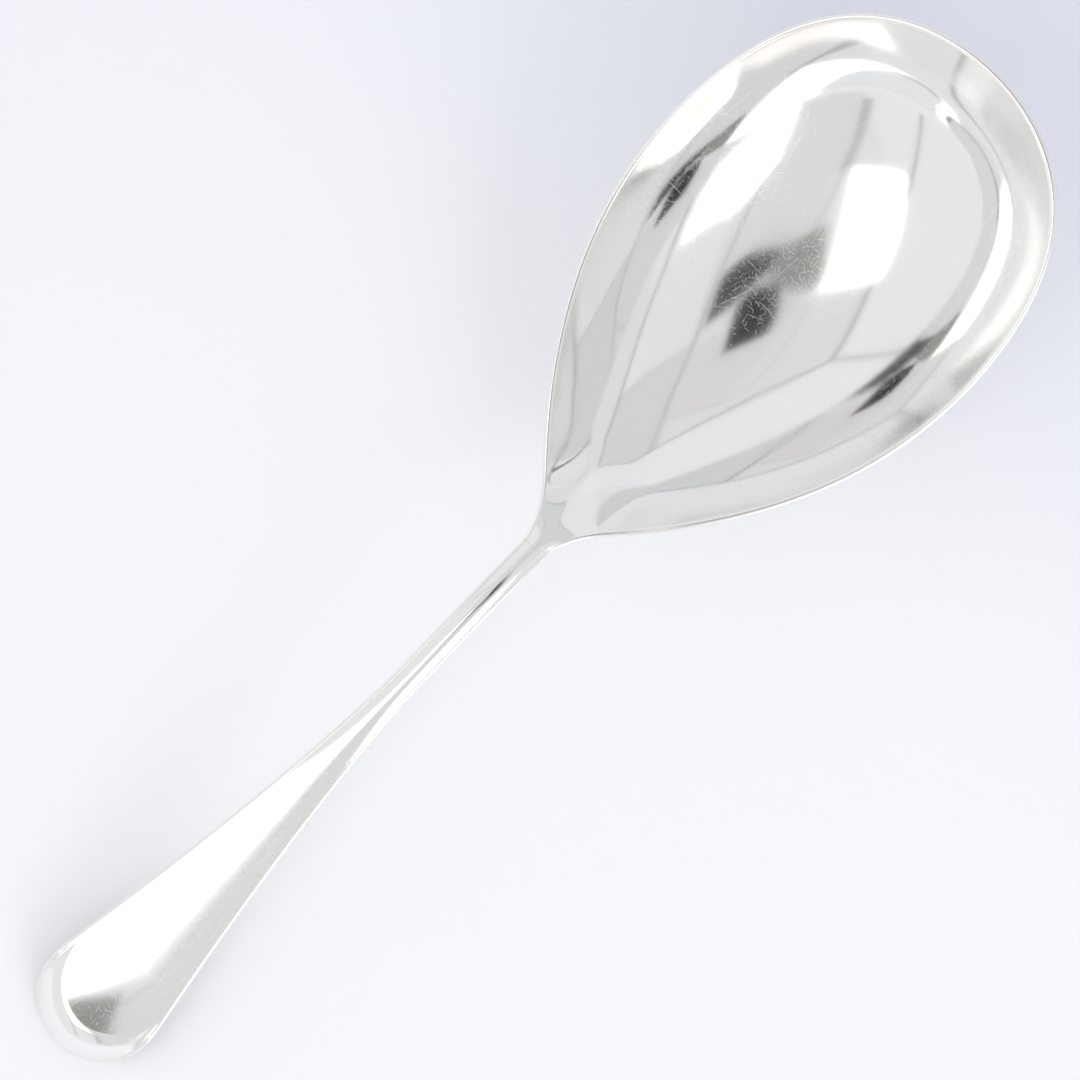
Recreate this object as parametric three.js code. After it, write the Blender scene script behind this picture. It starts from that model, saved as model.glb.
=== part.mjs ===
// A rice spoon in polished silver: a deep egg-shaped bowl raised from sheet, and a forged handle with a narrow
// crowned stem and a broad, turned-down end. Stem and bowl meet face to face at the neck in a seam of hard
// solder, and a soldered drop backs that joint from below.
// Millimetres. +X runs from the handle's end to the bowl's tip and +Z is up. The spoon stands on Z = 0, on a
// small worn flat under the bowl and on another under the handle's end.

import * as THREE from "three";
import { mergeVertices } from "three/addons/utils/BufferGeometryUtils.js";

// Outline, seen from above
const spoonLength = 240;
const bowlLength = 116;
const bowlWidth = 72;
const eggLean = 0.288;
const eggBelly = -0.133;
const eggTip = 0.227;
const stemWidth = 5.1;
const endWidth = 23.1;
const endWidestAt = 13.7;
const endRoundLength = 15.1;
const flareLength = 91;
const flarePower = 1.5;
const eggBeyondHeel = 4;
const shoulderReach = 6;
const shoulderEasing = 6.5;
const shoulderSharpness = 3;

// Hollow of the bowl
const bowlDepth = 21.5;
const depthShift = 0.29;
const depthFourth = 0.6;
const hollowEasing = 6;
const bowlPitch = 0.105;
const rimSag = 0.08;
const sheetThickness = 1.15;
const rimThickness = 1.4;
const rimSwellPower = 8;
const rimReachShare = 0.85;

// Handle, seen from the side and in section. endHeight is that of its face's straight line at the end. The
// broad part is crowned by a share of its half width, and the crown grows to its full height along the stem.
const endHeight = 5.2;
const archBeforeHeel = 9;
const neckFall = 0.3;
const archRounding = 2.5;
const stemThickness = 3.6;
const endThickness = 2.1;
const handleEdgeThickness = 1.3;
const crownHeight = 0.95;
const broadCrownShare = 0.09;
const crownGrowthStart = 50;
const crownGrowthEnd = 100;

// Turned-down end: the face lifts a little, then falls over a rounded lip that fades round the end's sides
const upturnHeight = 1.9;
const upturnLength = 20;
const lipLength = 6;
const lipRoundness = 0.8;
const lipFadeLength = 13;
const leanFadeStart = 5;
const leanFadeEnd = 15;

// Neck joint and the drop behind it, placed from the heel
const rootLength = 0.8;
const solderSeam = 0.2;
const neckBlendBeforeHeel = 4;
const neckBlendLength = 26;
const squaringLength = 8;
const dropBeforeHeel = 5.5;
const dropLength = 29;
const dropRootInset = 1.1;
const dropTongueWidth = 9;
const dropThickness = 1.9;
const dropEdgeThickness = 0.7;
const dropRoundShare = 0.3;
const bedThickness = 0.2;
const bedClearance = 0.2;
const bedInset = 0.4;

// Flats rubbed into the underside where the spoon stands
const bowlFlatDepth = 0.3;
const endFlatDepth = 0.7;

// Fineness of the surfaces
const rootStations = 4;
const bowlStations = 44;
const endStations = 14;
const stemStations = 36;
const dropStations = 18;
const acrossBowl = 20;
const acrossHandle = 10;
const acrossDrop = 8;
const rimSteps = 4;
const peakSamples = 400;
const sampleStep = 1e-4;
const mergeDistance = 1e-4;

const heel = spoonLength - bowlLength;
const eggStart = heel + eggBeyondHeel;
const jointEnd = heel - rootLength;
const jointStart = jointEnd - solderSeam;
const archPosition = heel - archBeforeHeel;
const neckBlendStart = heel - neckBlendBeforeHeel;
const dropStart = heel - dropBeforeHeel;
const dropRootWidth = stemWidth - 2 * dropRootInset;

const silver = new THREE.MeshStandardMaterial({ color: 0xdad9d6, metalness: 1, roughness: 0.12 });
const forgedSilver = new THREE.MeshStandardMaterial({ color: 0xd8d7d3, metalness: 1, roughness: 0.16 });
const hardSolder = new THREE.MeshStandardMaterial({ color: 0xcfcdc4, metalness: 1, roughness: 0.3 });

// A smooth step from 0 at a to 1 at b.
function smoothStep(a, b, x) {
  const t = Math.min(Math.max((x - a) / (b - a), 0), 1);
  return t * t * (3 - 2 * t);
}

function mix(a, b, t) {
  return a + (b - a) * t;
}

// The largest value of a function sampled over an interval.
function peakOf(f, from, to) {
  let peak = -Infinity;
  for (let i = 0; i <= peakSamples; i += 1) {
    peak = Math.max(peak, f(mix(from, to, i / peakSamples)));
  }
  return peak;
}

// The upper face's edge lies inside the outline seen from above by the reach of the rounded rim.
const rimReach = rimThickness * rimReachShare;
const edgeReach = handleEdgeThickness / 2;
const tip = spoonLength - rimReach;
const bowlMiddle = (heel + tip) / 2;
const bowlHalfLength = (tip - heel) / 2;

// Place from -1 at a start to 1 at the bowl's tip. It leaves -1 without a kink, over the easing's length on
// each side of the start.
function alongTo(x, start, easing) {
  const past = x - start;
  const rounded = (Math.max(past + easing, 0) ** 2) / (4 * easing);
  const eased = past > easing ? past : rounded;
  return Math.min((2 * eased) / (tip - start) - 1, 1);
}

// Half width of an egg: an ellipse whose fullness changes along it.
function eggForm(e) {
  return Math.sqrt(Math.max(1 - e * e, 0)) * (1 + eggLean * e + eggBelly * e * e + eggTip * e ** 3);
}

const eggPeak = peakOf(eggForm, -1, 1);

function flare(x) {
  return Math.min(Math.max(1 - x / flareLength, 0), 1) ** flarePower;
}

// The handle's end is rounded off like a quarter of an ellipse.
function endRounding(x) {
  const t = Math.min(Math.max(1 - (x - edgeReach) / endRoundLength, 0), 1);
  return Math.sqrt(Math.max(1 - t * t, 0));
}

const flareSpread = ((endWidth / 2) / endRounding(endWidestAt) - stemWidth / 2) / flare(endWidestAt);

// Half width of the handle's face as if its end weren't rounded off.
function openHalfWidth(x) {
  return stemWidth / 2 - edgeReach + flareSpread * flare(x);
}

function stemHalfWidth(x) {
  return openHalfWidth(x) * endRounding(x) * (1 - smoothStep(eggStart, eggStart + shoulderReach, x));
}

function bowlHalfWidth(x) {
  return ((bowlWidth / 2 - rimReach) * eggForm(alongTo(x, eggStart, shoulderEasing))) / eggPeak;
}

// Stem and egg flow together in hollow shoulders: a rounded maximum of the two.
function halfWidth(x) {
  const sum = bowlHalfWidth(x) ** shoulderSharpness + stemHalfWidth(x) ** shoulderSharpness;
  return sum ** (1 / shoulderSharpness);
}

// Depth of the hollow, 1 at its deepest place and 0 at the rim. The bowl is mapped onto a round disc whose
// middle is moved towards the tip, and the depth depends on the distance from that middle alone.
function hollow(x, v) {
  const e = alongTo(x, heel, hollowEasing);
  const side = v * Math.sqrt(1 - e * e);
  const above = (e - depthShift) ** 2 + side * side;
  const below = (1 - depthShift * e) ** 2 + (depthShift * side) ** 2;
  const r2 = above / below;
  return 1 - mix(r2, r2 * r2, depthFourth);
}

// Height of the rim over the table before the bowl is set down on its flat.
function rimLine(x) {
  const e = (x - bowlMiddle) / bowlHalfLength;
  return bowlPitch * (x - bowlMiddle) + rimSag * e * e * bowlHalfLength;
}

function bowlForm(x, v) {
  return rimLine(x) - bowlDepth * hollow(x, v);
}

const bowlLowest = -peakOf((x) => sheetThickness - bowlForm(x, 0), heel, tip);
const bowlLift = -bowlLowest - bowlFlatDepth;
const heelHeight = rimLine(heel) + bowlLift;
const archHeight = heelHeight + neckFall * archBeforeHeel;
const handleRise = (archHeight + archRounding - endHeight) / archPosition;

// The handle rises evenly from its end, rounds over the arch and falls towards the bowl.
function handleLine(x) {
  const rising = archHeight + handleRise * (x - archPosition);
  const falling = archHeight - neckFall * (x - archPosition);
  const apart = (rising - falling) / 2;
  return (rising + falling) / 2 - Math.sqrt(apart * apart + archRounding * archRounding) + archRounding;
}

function upturn(x) {
  return upturnHeight * Math.min(Math.max(1 - (x - edgeReach) / upturnLength, 0), 1) ** 2;
}

// How far the face falls over the lip, as a share of the whole fall: a part of an ellipse inside the end's round
// outline. It falls all the way at the very end and fades out round the sides.
function lipFall(x, across) {
  const outlineFromEnd = endRoundLength * (1 - Math.sqrt(Math.max(1 - across * across, 0)));
  const place = 1 - (x - edgeReach - outlineFromEnd) / lipLength;
  const turned = lipRoundness * Math.min(Math.max(place, 0), 1);
  const fall = (1 - Math.sqrt(1 - turned * turned)) / (1 - Math.sqrt(1 - lipRoundness * lipRoundness));
  return fall * (1 - smoothStep(0, lipFadeLength, outlineFromEnd));
}

// The end falls until its rounded edge stands on the table.
const lipDepth = handleLine(edgeReach) + upturn(edgeReach) - handleEdgeThickness + endFlatDepth;

// How far across the handle's full width a place lies, as a share, and how far in from its edge.
function acrossHandleAt(x, v) {
  return v * endRounding(x);
}

function withinHandle(x, v) {
  return (1 - v * v) * endRounding(x) ** 2;
}

// The crown runs on evenly into the round end, as if that were cut from a longer crowned strip.
function handleForm(x, v) {
  const across = acrossHandleAt(x, v);
  const growth = smoothStep(crownGrowthStart, crownGrowthEnd, x);
  const crown = mix(broadCrownShare * openHalfWidth(x), crownHeight, growth);
  return handleLine(x) + upturn(x) - lipDepth * lipFall(x, across) - crown * across * across;
}

// Height of the whole upper face at x, where v runs from -1 to 1 across it.
function upperHeight(x, v) {
  const intoBowl = smoothStep(neckBlendStart, neckBlendStart + neckBlendLength, x);
  return mix(handleForm(x, v), bowlForm(x, v) + bowlLift, intoBowl);
}

// Distance from the hollow's middle, as a share of the way to the rim.
function towardsRim(x, v) {
  const e = alongTo(x, heel, hollowEasing);
  return Math.sqrt(1 - (1 - e * e) * (1 - v * v));
}

function thickness(x, v) {
  const intoBowl = smoothStep(neckBlendStart, neckBlendStart + neckBlendLength, x);
  const ridge = mix(stemThickness, endThickness, flare(x));
  const forged = mix(handleEdgeThickness, ridge, withinHandle(x, v));
  const raised = mix(sheetThickness, rimThickness, towardsRim(x, v) ** rimSwellPower);
  return mix(forged, raised, intoBowl);
}

function upperPoint(x, v) {
  return new THREE.Vector3(x, v * halfWidth(x), upperHeight(x, v));
}

// 0 at the seam, where the section stands square to X, and 1 away from it.
function leaning(x) {
  return smoothStep(0, squaringLength, Math.max(jointStart - x, x - jointEnd, 0));
}

// 1 in the turned-down end, where the wall leans with the slope, and 0 along the stem, where it stands upright.
function endLeaning(x) {
  return 1 - smoothStep(leanFadeStart, leanFadeEnd, x);
}

// Direction of the wall's thickness: upright in the stem, square to the face in the bowl and at the end.
// Slopes are sampled a little way inward, 1 for towards +X and -1 for towards -X.
function wallDirection(x, v, inward) {
  const slope = (upperHeight(x + sampleStep * inward, 0) - upperHeight(x, 0)) / (sampleStep * inward);
  const forged = new THREE.Vector3(-slope * endLeaning(x), 0, 1).normalize();
  const raised = new THREE.Vector3(-slope, 0, 1).normalize();
  if (halfWidth(x) > sampleStep) {
    const alongFace = upperPoint(x + sampleStep * inward, v).sub(upperPoint(x, v)).multiplyScalar(inward);
    const acrossFace = upperPoint(x, v + sampleStep).sub(upperPoint(x, v - sampleStep));
    raised.crossVectors(alongFace, acrossFace).normalize();
  }
  const direction = forged.lerp(raised, smoothStep(jointEnd, jointEnd + neckBlendLength, x));
  direction.x *= leaning(x);
  return direction.normalize();
}

// One ring round the section at x: along the upper face, round one edge, back below and round the other edge.
// inward is the way along X in which slopes are sampled, and the opposite way leads out at a closed end.
function sectionRing(x, across, inward) {
  const upper = [];
  const lower = [];
  const directions = [];
  for (let j = 0; j <= across; j += 1) {
    const v = mix(-1, 1, j / across);
    const direction = wallDirection(x, v, inward);
    const point = upperPoint(x, v);
    directions.push(direction);
    upper.push(point);
    lower.push(point.clone().addScaledVector(direction, -thickness(x, v)));
  }
  const edgeArc = (side) => {
    const j = side > 0 ? across : 0;
    const outward = outwardAt(x, side, directions[j], inward);
    return roundEdge(upper[j], lower[j], outward);
  };
  return [...upper, ...edgeArc(1), ...lower.toReversed(), ...edgeArc(-1).toReversed()];
}

// The way out of the plate at its edge, square to the edge and to the wall's thickness.
function outwardAt(x, side, direction, inward) {
  if (halfWidth(x) <= sampleStep) {
    const out = new THREE.Vector3(-inward, 0, 0);
    return out.addScaledVector(direction, -out.dot(direction)).normalize();
  }
  const next = upperPoint(x + sampleStep * inward, side);
  const alongEdge = next.sub(upperPoint(x, side)).multiplyScalar(inward * side);
  const out = new THREE.Vector3().crossVectors(direction, alongEdge);
  out.x *= leaning(x);
  return out.addScaledVector(direction, -out.dot(direction)).normalize();
}

// Points of a half circle from an upper to a lower edge point, without its two ends.
function roundEdge(upper, lower, outward) {
  const middle = upper.clone().add(lower).multiplyScalar(0.5);
  const radius = upper.clone().sub(middle);
  const arc = [];
  for (let i = 1; i < rimSteps; i += 1) {
    const turn = (Math.PI * i) / rimSteps;
    const point = middle.clone().addScaledVector(radius, Math.cos(turn));
    arc.push(point.addScaledVector(outward, radius.length() * Math.sin(turn)));
  }
  return arc;
}

// Joins rings of equal length into one closed body. A flat end is closed by a strip of triangles that runs
// from one edge to the other and joins upper to lower points; edgePoints is how many points round each edge
// lie between them. A ring that folds onto itself at a rounded end needs no strip: its two halves meet.
function bodyFromRings(rings, flatStart, flatEnd, edgePoints) {
  const ringLength = rings[0].length;
  const points = rings.flat();
  const triangles = [];
  for (let i = 0; i + 1 < rings.length; i += 1) {
    for (let j = 0; j < ringLength; j += 1) {
      const k = (j + 1) % ringLength;
      const a = i * ringLength + j;
      const b = i * ringLength + k;
      triangles.push(a, a + ringLength, b, b, a + ringLength, b + ringLength);
    }
  }
  const closeFlat = (start, turned) => {
    const first = -Math.ceil(edgePoints / 2);
    const last = ringLength / 2 - edgePoints - 1 - first;
    const along = (j) => start + ((j + ringLength) % ringLength);
    const across = (j) => along(ringLength - 1 - edgePoints - j);
    for (let j = first; j < last; j += 1) {
      const quad = [along(j), along(j + 1), across(j + 1), across(j)];
      const [a, b, c, d] = turned ? quad.toReversed() : quad;
      triangles.push(a, b, c, a, c, d);
    }
  };
  if (flatStart) {
    closeFlat(0, false);
  }
  if (flatEnd) {
    closeFlat((rings.length - 1) * ringLength, true);
  }
  const geometry = new THREE.BufferGeometry().setFromPoints(points);
  geometry.setIndex(triangles);
  return withoutSlivers(mergeVertices(geometry, mergeDistance));
}

// Leaves out the triangles that folded flat where points met.
function withoutSlivers(geometry) {
  const index = geometry.getIndex().array;
  const kept = [];
  for (let i = 0; i < index.length; i += 3) {
    const [a, b, c] = index.slice(i, i + 3);
    if (a !== b && b !== c && c !== a) {
      kept.push(a, b, c);
    }
  }
  geometry.setIndex(kept);
  geometry.computeVertexNormals();
  return geometry;
}

// Rubs the underside flat where it would reach below the table.
function standOnTable(rings) {
  for (const point of rings.flat()) {
    point.z = Math.max(point.z, 0);
  }
  return rings;
}

// Places from a to b in even steps, both ends included.
function evenly(a, b, steps) {
  return Array.from({ length: steps + 1 }, (_, i) => mix(a, b, i / steps));
}

// Places that crowd together towards b, so that a round end there closes smoothly.
function crowding(a, b, steps) {
  return Array.from({ length: steps + 1 }, (_, i) => mix(a, b, Math.sin((Math.PI / 2) * (i / steps))));
}

// Places that crowd together towards both ends, for the quick bends at the bowl's neck and its round tip.
function crowdingBothWays(a, b, steps) {
  return Array.from({ length: steps + 1 }, (_, i) => mix(a, b, (1 - Math.cos(Math.PI * (i / steps))) / 2));
}

function bowlGeometry() {
  const root = evenly(jointEnd, heel, rootStations).slice(0, -1);
  const places = [...root, ...crowdingBothWays(heel, tip, bowlStations)];
  const rings = places.map((x) => sectionRing(x, acrossBowl, -1));
  return bodyFromRings(standOnTable(rings), true, false, rimSteps - 1);
}

function handleGeometry() {
  const roundEnd = crowding(endRoundLength, edgeReach, endStations).reverse();
  const stem = evenly(endRoundLength, jointStart, stemStations).slice(1);
  const rings = [...roundEnd, ...stem].map((x) => sectionRing(x, acrossHandle, 1));
  return bodyFromRings(standOnTable(rings), false, true, rimSteps - 1);
}

// The seam fills the space between the two cut faces, with the same outline as each of them.
function seamGeometry() {
  const rings = [sectionRing(jointStart, acrossHandle, 1), sectionRing(jointEnd, acrossHandle, 1)];
  return bodyFromRings(rings, true, true, rimSteps - 1);
}

// Half width of the drop at t, from 0 at its root under the stem to 1 at its rounded tongue.
function dropHalfWidth(t) {
  const spread = mix(dropRootWidth, dropTongueWidth, smoothStep(0, 1 - dropRoundShare, t)) / 2;
  const past = Math.max(t - 1 + dropRoundShare, 0) / dropRoundShare;
  return spread * Math.sqrt(Math.max(1 - past * past, 0));
}

// A point at a given distance below the underside of the stem or bowl.
function belowUnderside(x, v, distance) {
  const direction = wallDirection(x, v, 1);
  return upperPoint(x, v).addScaledVector(direction, -thickness(x, v) - distance);
}

// One ring round a piece that lies along the underside, between two distances below it.
function backingRing(x, halfSpread, near, far) {
  const upper = [];
  const lower = [];
  for (let j = 0; j <= acrossDrop; j += 1) {
    const q = mix(-1, 1, j / acrossDrop);
    const v = (q * halfSpread) / halfWidth(x);
    upper.push(belowUnderside(x, v, near));
    lower.push(belowUnderside(x, v, far(q)));
  }
  return [...upper, ...lower.toReversed()];
}

function dropGeometry() {
  const nearest = bedThickness + 2 * bedClearance;
  const rings = crowding(0, 1, dropStations).map((t) => {
    const ridge = mix(dropEdgeThickness, dropThickness, Math.sin(Math.PI * t) ** 2);
    const far = (q) => nearest + mix(ridge, dropEdgeThickness, q * q);
    return backingRing(dropStart + dropLength * t, dropHalfWidth(t), nearest, far);
  });
  return bodyFromRings(rings, true, false, 0);
}

// The bed of solder follows the drop's upper face, a little inside its outline.
function bedGeometry() {
  const far = () => bedClearance + bedThickness;
  const bedLength = dropLength - 2 * bedInset;
  const rings = crowding(0, 1, dropStations).map((t) => {
    const share = (dropRootWidth - 2 * bedInset) / dropRootWidth;
    return backingRing(dropStart + bedInset + bedLength * t, dropHalfWidth(t) * share, bedClearance, far);
  });
  return bodyFromRings(rings, true, false, 0);
}

function piece(name, geometry, material) {
  const mesh = new THREE.Mesh(geometry, material);
  mesh.name = name;
  return mesh;
}

const spoon = new THREE.Group();
spoon.add(
  piece("bowl", bowlGeometry(), silver),
  piece("handle", handleGeometry(), forgedSilver),
  piece("neck_solder", seamGeometry(), hardSolder),
  piece("heel_drop", dropGeometry(), forgedSilver),
  piece("drop_solder", bedGeometry(), hardSolder),
);

// The middle of the spoon's length stands over the origin.
const box = new THREE.Box3().setFromObject(spoon);
spoon.position.x = -(box.min.x + box.max.x) / 2;

export default spoon;
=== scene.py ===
# A large silver rice spoon on a pale table. Polished silver has hardly a colour of its own, so its looks come
# from three things: how its faces curve, the plain light tent that they mirror, and the fine scratches of use.
import math

import bpy
import numpy as np
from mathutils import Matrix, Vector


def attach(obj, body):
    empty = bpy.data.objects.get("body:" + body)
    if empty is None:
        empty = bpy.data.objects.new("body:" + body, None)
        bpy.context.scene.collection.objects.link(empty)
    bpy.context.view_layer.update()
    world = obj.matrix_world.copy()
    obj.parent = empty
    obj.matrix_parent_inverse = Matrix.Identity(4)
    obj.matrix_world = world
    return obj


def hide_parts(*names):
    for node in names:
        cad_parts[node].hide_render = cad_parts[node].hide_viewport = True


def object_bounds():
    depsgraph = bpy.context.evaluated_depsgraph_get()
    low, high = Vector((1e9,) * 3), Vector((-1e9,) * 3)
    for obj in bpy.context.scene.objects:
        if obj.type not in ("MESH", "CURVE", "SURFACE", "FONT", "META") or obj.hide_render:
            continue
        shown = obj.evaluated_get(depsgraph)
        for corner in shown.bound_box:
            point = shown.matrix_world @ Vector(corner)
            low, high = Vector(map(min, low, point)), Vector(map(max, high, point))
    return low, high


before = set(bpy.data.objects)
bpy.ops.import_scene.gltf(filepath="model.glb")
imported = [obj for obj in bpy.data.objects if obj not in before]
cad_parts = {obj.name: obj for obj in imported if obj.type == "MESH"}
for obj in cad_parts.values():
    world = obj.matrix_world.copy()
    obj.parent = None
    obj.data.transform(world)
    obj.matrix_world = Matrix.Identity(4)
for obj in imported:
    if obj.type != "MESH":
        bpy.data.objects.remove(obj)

cadLow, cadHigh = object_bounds()
print("packed model loaded")

# Forms are worked out in millimetres along x from the handle's end, and the meshes are made in metres. Slopes
# are taken over slopeStep, points that agree when multiplied by mergeScale and rounded are one, samples are the
# stations where a largest value is looked for, and no length that is divided by is less than nearZero.
mm = 0.001
samples = 4001
slopeStep = 1e-4
mergeScale = 1e5
nearZero = 1e-12

outline = {
    "spoonLength": 240.0, "bowlLength": 116.0, "bowlWidth": 72.0, "eggLength": 112.0,
    "eggLean": 0.288, "eggBelly": -0.133, "eggTip": 0.227,
    "stemWidth": 5.1, "endWidth": 23.1, "endWidestAt": 13.7, "endRoundLength": 15.1,
    "flareLength": 91.0, "flarePower": 1.5,
    "shoulderReach": 6.0, "shoulderEasing": 6.5, "shoulderSharpness": 3.0,
}
dish = {
    "depth": 21.5, "shift": 0.29, "fourth": 0.6, "easing": 6.0, "pitch": 0.105, "rimSag": 0.08,
    "sheet": 1.15, "rim": 1.4, "swellPower": 8, "rimReachShare": 0.85, "flatDepth": 0.3,
}
bar = {
    "endHeight": 5.2, "archBeforeHeel": 9.0, "neckFall": 0.3, "archRounding": 2.5,
    "stem": 3.6, "end": 2.1, "edge": 1.3,
    "crown": 0.95, "bladeCrownShare": 0.09, "crownFrom": 50.0, "crownTo": 100.0,
    "lipLength": 6.0, "lipRoundness": 0.8, "lipFade": 13.0, "upturn": 1.9, "upturnLength": 20.0,
    "leanStart": 5.0, "leanEnd": 15.0, "flatDepth": 0.7,
}
joint = {"rootLength": 0.8, "seam": 0.2, "blendBeforeHeel": 4.0, "blendLength": 26.0, "squaring": 8.0}

heel = outline["spoonLength"] - outline["bowlLength"]
eggStart = outline["spoonLength"] - outline["eggLength"]
jointEnd = heel - joint["rootLength"]
jointStart = jointEnd - joint["seam"]
archPlace = heel - bar["archBeforeHeel"]
blendStart = heel - joint["blendBeforeHeel"]
blendEnd = blendStart + joint["blendLength"]
rimReach = dish["rim"] * dish["rimReachShare"]
edgeReach = bar["edge"] / 2
tip = outline["spoonLength"] - rimReach
bowlMiddle, bowlHalf = (heel + tip) / 2, (tip - heel) / 2


def mix(a, b, t):
    # a where t is 0, b where it is 1, straight in between
    return a + (b - a) * t


def smoothStep(a, b, x):
    # 0 at a, 1 at b, level at both
    t = np.clip((x - a) / (b - a), 0, 1)
    return t * t * (3 - 2 * t)


def unit(a):
    # each vector divided by its length
    return a / np.maximum(np.linalg.norm(a, axis=-1, keepdims=True), nearZero)


def alongTo(x, start, easing):
    # -1 at a start and 1 at the tip; the line leaves -1 along a parabola, an easing long on each side
    past = x - start
    rounded = np.maximum(past + easing, 0) ** 2 / (4 * easing)
    return np.minimum(2 * np.where(past > easing, past, rounded) / (tip - start) - 1, 1)


def eggForm(e):
    # half width of an ellipse times a cubic in e, which makes it fuller towards the tip
    return np.sqrt(np.maximum(1 - e * e, 0)) * (
        1 + outline["eggLean"] * e + outline["eggBelly"] * e**2 + outline["eggTip"] * e**3)


eggPeak = eggForm(np.linspace(-1, 1, samples)).max()


def flare(x):
    # 1 at the handle's end, falling to 0 along a power curve where the stem is narrowest
    return np.clip(1 - x / outline["flareLength"], 0, 1) ** outline["flarePower"]


def endRounding(x):
    # a quarter of an ellipse: 0 at the very end, 1 from the end's round part on
    t = np.clip(1 - (x - edgeReach) / outline["endRoundLength"], 0, 1)
    return np.sqrt(np.maximum(1 - t * t, 0))


flareSpread = (outline["endWidth"] / 2 / endRounding(outline["endWidestAt"])
               - outline["stemWidth"] / 2) / flare(outline["endWidestAt"])


def openHalfWidth(x):
    # the stem's half width as it flares, before its end is rounded
    return outline["stemWidth"] / 2 - edgeReach + flareSpread * flare(x)


def halfWidth(x):
    # rounded maximum of the stem's and the egg's half widths: the cube root of the sum of their cubes
    shoulder = smoothStep(eggStart, eggStart + outline["shoulderReach"], x)
    stem = openHalfWidth(x) * endRounding(x) * (1 - shoulder)
    along = alongTo(x, eggStart, outline["shoulderEasing"])
    egg = (outline["bowlWidth"] / 2 - rimReach) * eggForm(along) / eggPeak
    sharp = outline["shoulderSharpness"]
    return (stem**sharp + egg**sharp) ** (1 / sharp)


def hollow(x, v):
    # the bowl is mapped onto a disc whose middle is moved towards the tip; the depth, 1 in that middle, falls
    # by a mix of the squared way out and its square
    e = alongTo(x, heel, dish["easing"])
    c = dish["shift"]
    side = v * np.sqrt(np.maximum(1 - e * e, 0))
    r2 = ((e - c) ** 2 + side**2) / ((1 - c * e) ** 2 + (c * side) ** 2)
    return 1 - mix(r2, r2 * r2, dish["fourth"])


def rimLine(x):
    # a straight pitch plus a parabola that lifts both ends of the rim
    e = (x - bowlMiddle) / bowlHalf
    return dish["pitch"] * (x - bowlMiddle) + dish["rimSag"] * e * e * bowlHalf


def bowlForm(x, v):
    # the rim's line less the depth times the hollow
    return rimLine(x) - dish["depth"] * hollow(x, v)


bowlLift = (dish["sheet"] - bowlForm(np.linspace(heel, tip, samples), 0)).max() - dish["flatDepth"]
archHeight = rimLine(heel) + bowlLift + bar["neckFall"] * bar["archBeforeHeel"]
handleRise = (archHeight + bar["archRounding"] - bar["endHeight"]) / archPlace


def handleLine(x):
    # the lower of two straight lines, rising and falling, rounded where they cross like a hyperbola
    rising = archHeight + handleRise * (x - archPlace)
    falling = archHeight - bar["neckFall"] * (x - archPlace)
    apart = (rising - falling) / 2
    return (rising + falling) / 2 - np.sqrt(apart**2 + bar["archRounding"] ** 2) + bar["archRounding"]


lipDepth = handleLine(edgeReach) + bar["upturn"] - bar["edge"] + bar["flatDepth"]


def lipFall(x, across):
    # a quarter of an ellipse inside the round outline, all the way down at its end and fading round its sides
    fromEnd = outline["endRoundLength"] * (1 - np.sqrt(np.maximum(1 - across * across, 0)))
    q = np.clip(1 - (x - edgeReach - fromEnd) / bar["lipLength"], 0, 1) * bar["lipRoundness"]
    whole = 1 - math.sqrt(1 - bar["lipRoundness"] ** 2)
    return (1 - smoothStep(0, bar["lipFade"], fromEnd)) * (1 - np.sqrt(1 - q * q)) / whole


def handleForm(x, v):
    # the line, raised towards the end by a parabola, less the lip, less a crown that grows with the square of
    # the way across
    across = v * endRounding(x)
    upturn = bar["upturn"] * np.clip(1 - (x - edgeReach) / bar["upturnLength"], 0, 1) ** 2
    bladeCrown = bar["bladeCrownShare"] * openHalfWidth(x)
    crown = mix(bladeCrown, bar["crown"], smoothStep(bar["crownFrom"], bar["crownTo"], x))
    return handleLine(x) + upturn - lipDepth * lipFall(x, across) - crown * across**2


def upperHeight(x, v):
    # the handle's form, turned into the bowl's by a smooth step
    return mix(handleForm(x, v), bowlForm(x, v) + bowlLift, smoothStep(blendStart, blendEnd, x))


def thickness(x, v):
    # the forging thins from ridge to edge; the sheet swells into the rim with a power of the way out to it
    e = alongTo(x, heel, dish["easing"])
    towardsRim = np.sqrt(np.maximum(1 - (1 - e * e) * (1 - v * v), 0))
    ridge = mix(bar["stem"], bar["end"], flare(x))
    forged = mix(bar["edge"], ridge, (1 - v * v) * endRounding(x) ** 2)
    raised = mix(dish["sheet"], dish["rim"], towardsRim ** dish["swellPower"])
    return mix(forged, raised, smoothStep(blendStart, blendEnd, x))


def upperPoint(x, v):
    # v of the half width out from the middle line, at the upper face's height
    x, v = np.broadcast_arrays(x, v)
    return np.stack([x, v * halfWidth(x), upperHeight(x, v)], -1)


def squaring(x):
    # 0 at the seam, where the sections stand square to x, and 1 away from it
    return smoothStep(0, joint["squaring"], np.maximum(np.maximum(jointStart - x, x - jointEnd), 0))


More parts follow.
